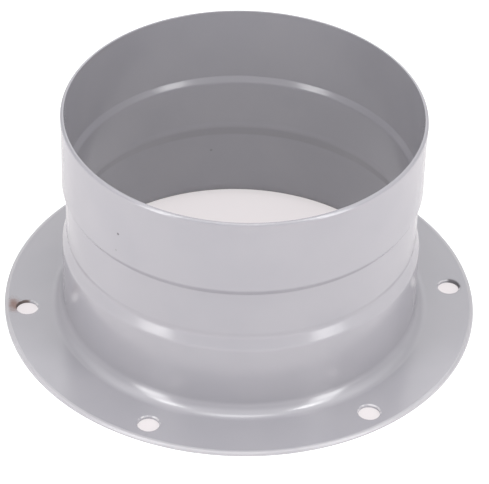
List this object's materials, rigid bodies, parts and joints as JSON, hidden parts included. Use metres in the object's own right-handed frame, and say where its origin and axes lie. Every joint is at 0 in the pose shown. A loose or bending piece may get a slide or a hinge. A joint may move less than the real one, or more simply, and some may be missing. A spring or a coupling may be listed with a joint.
{
  "type": "duct wall flange",
  "caption": "Painted sheet-steel wall flange for round duct: a flat plate with screw holes and a round collar that steps in to a shallow waist below its duct band.",
  "frame": {"origin": "centre of the plate's wall face, on the collar's axis", "axes": "+Z along the collar's axis, from the wall face to the rim; +X through the centre of one screw hole"},
  "size_m": [0.2, 0.2, 0.0985],
  "materials": {
    "grey_paint": "light grey gloss paint over sheet steel, slightly orange-peeled, with a rust stain at one screw hole"
  },
  "bodies": {
    "root": {"wall_flange": "grey_paint"}
  },
  "joints": []
}
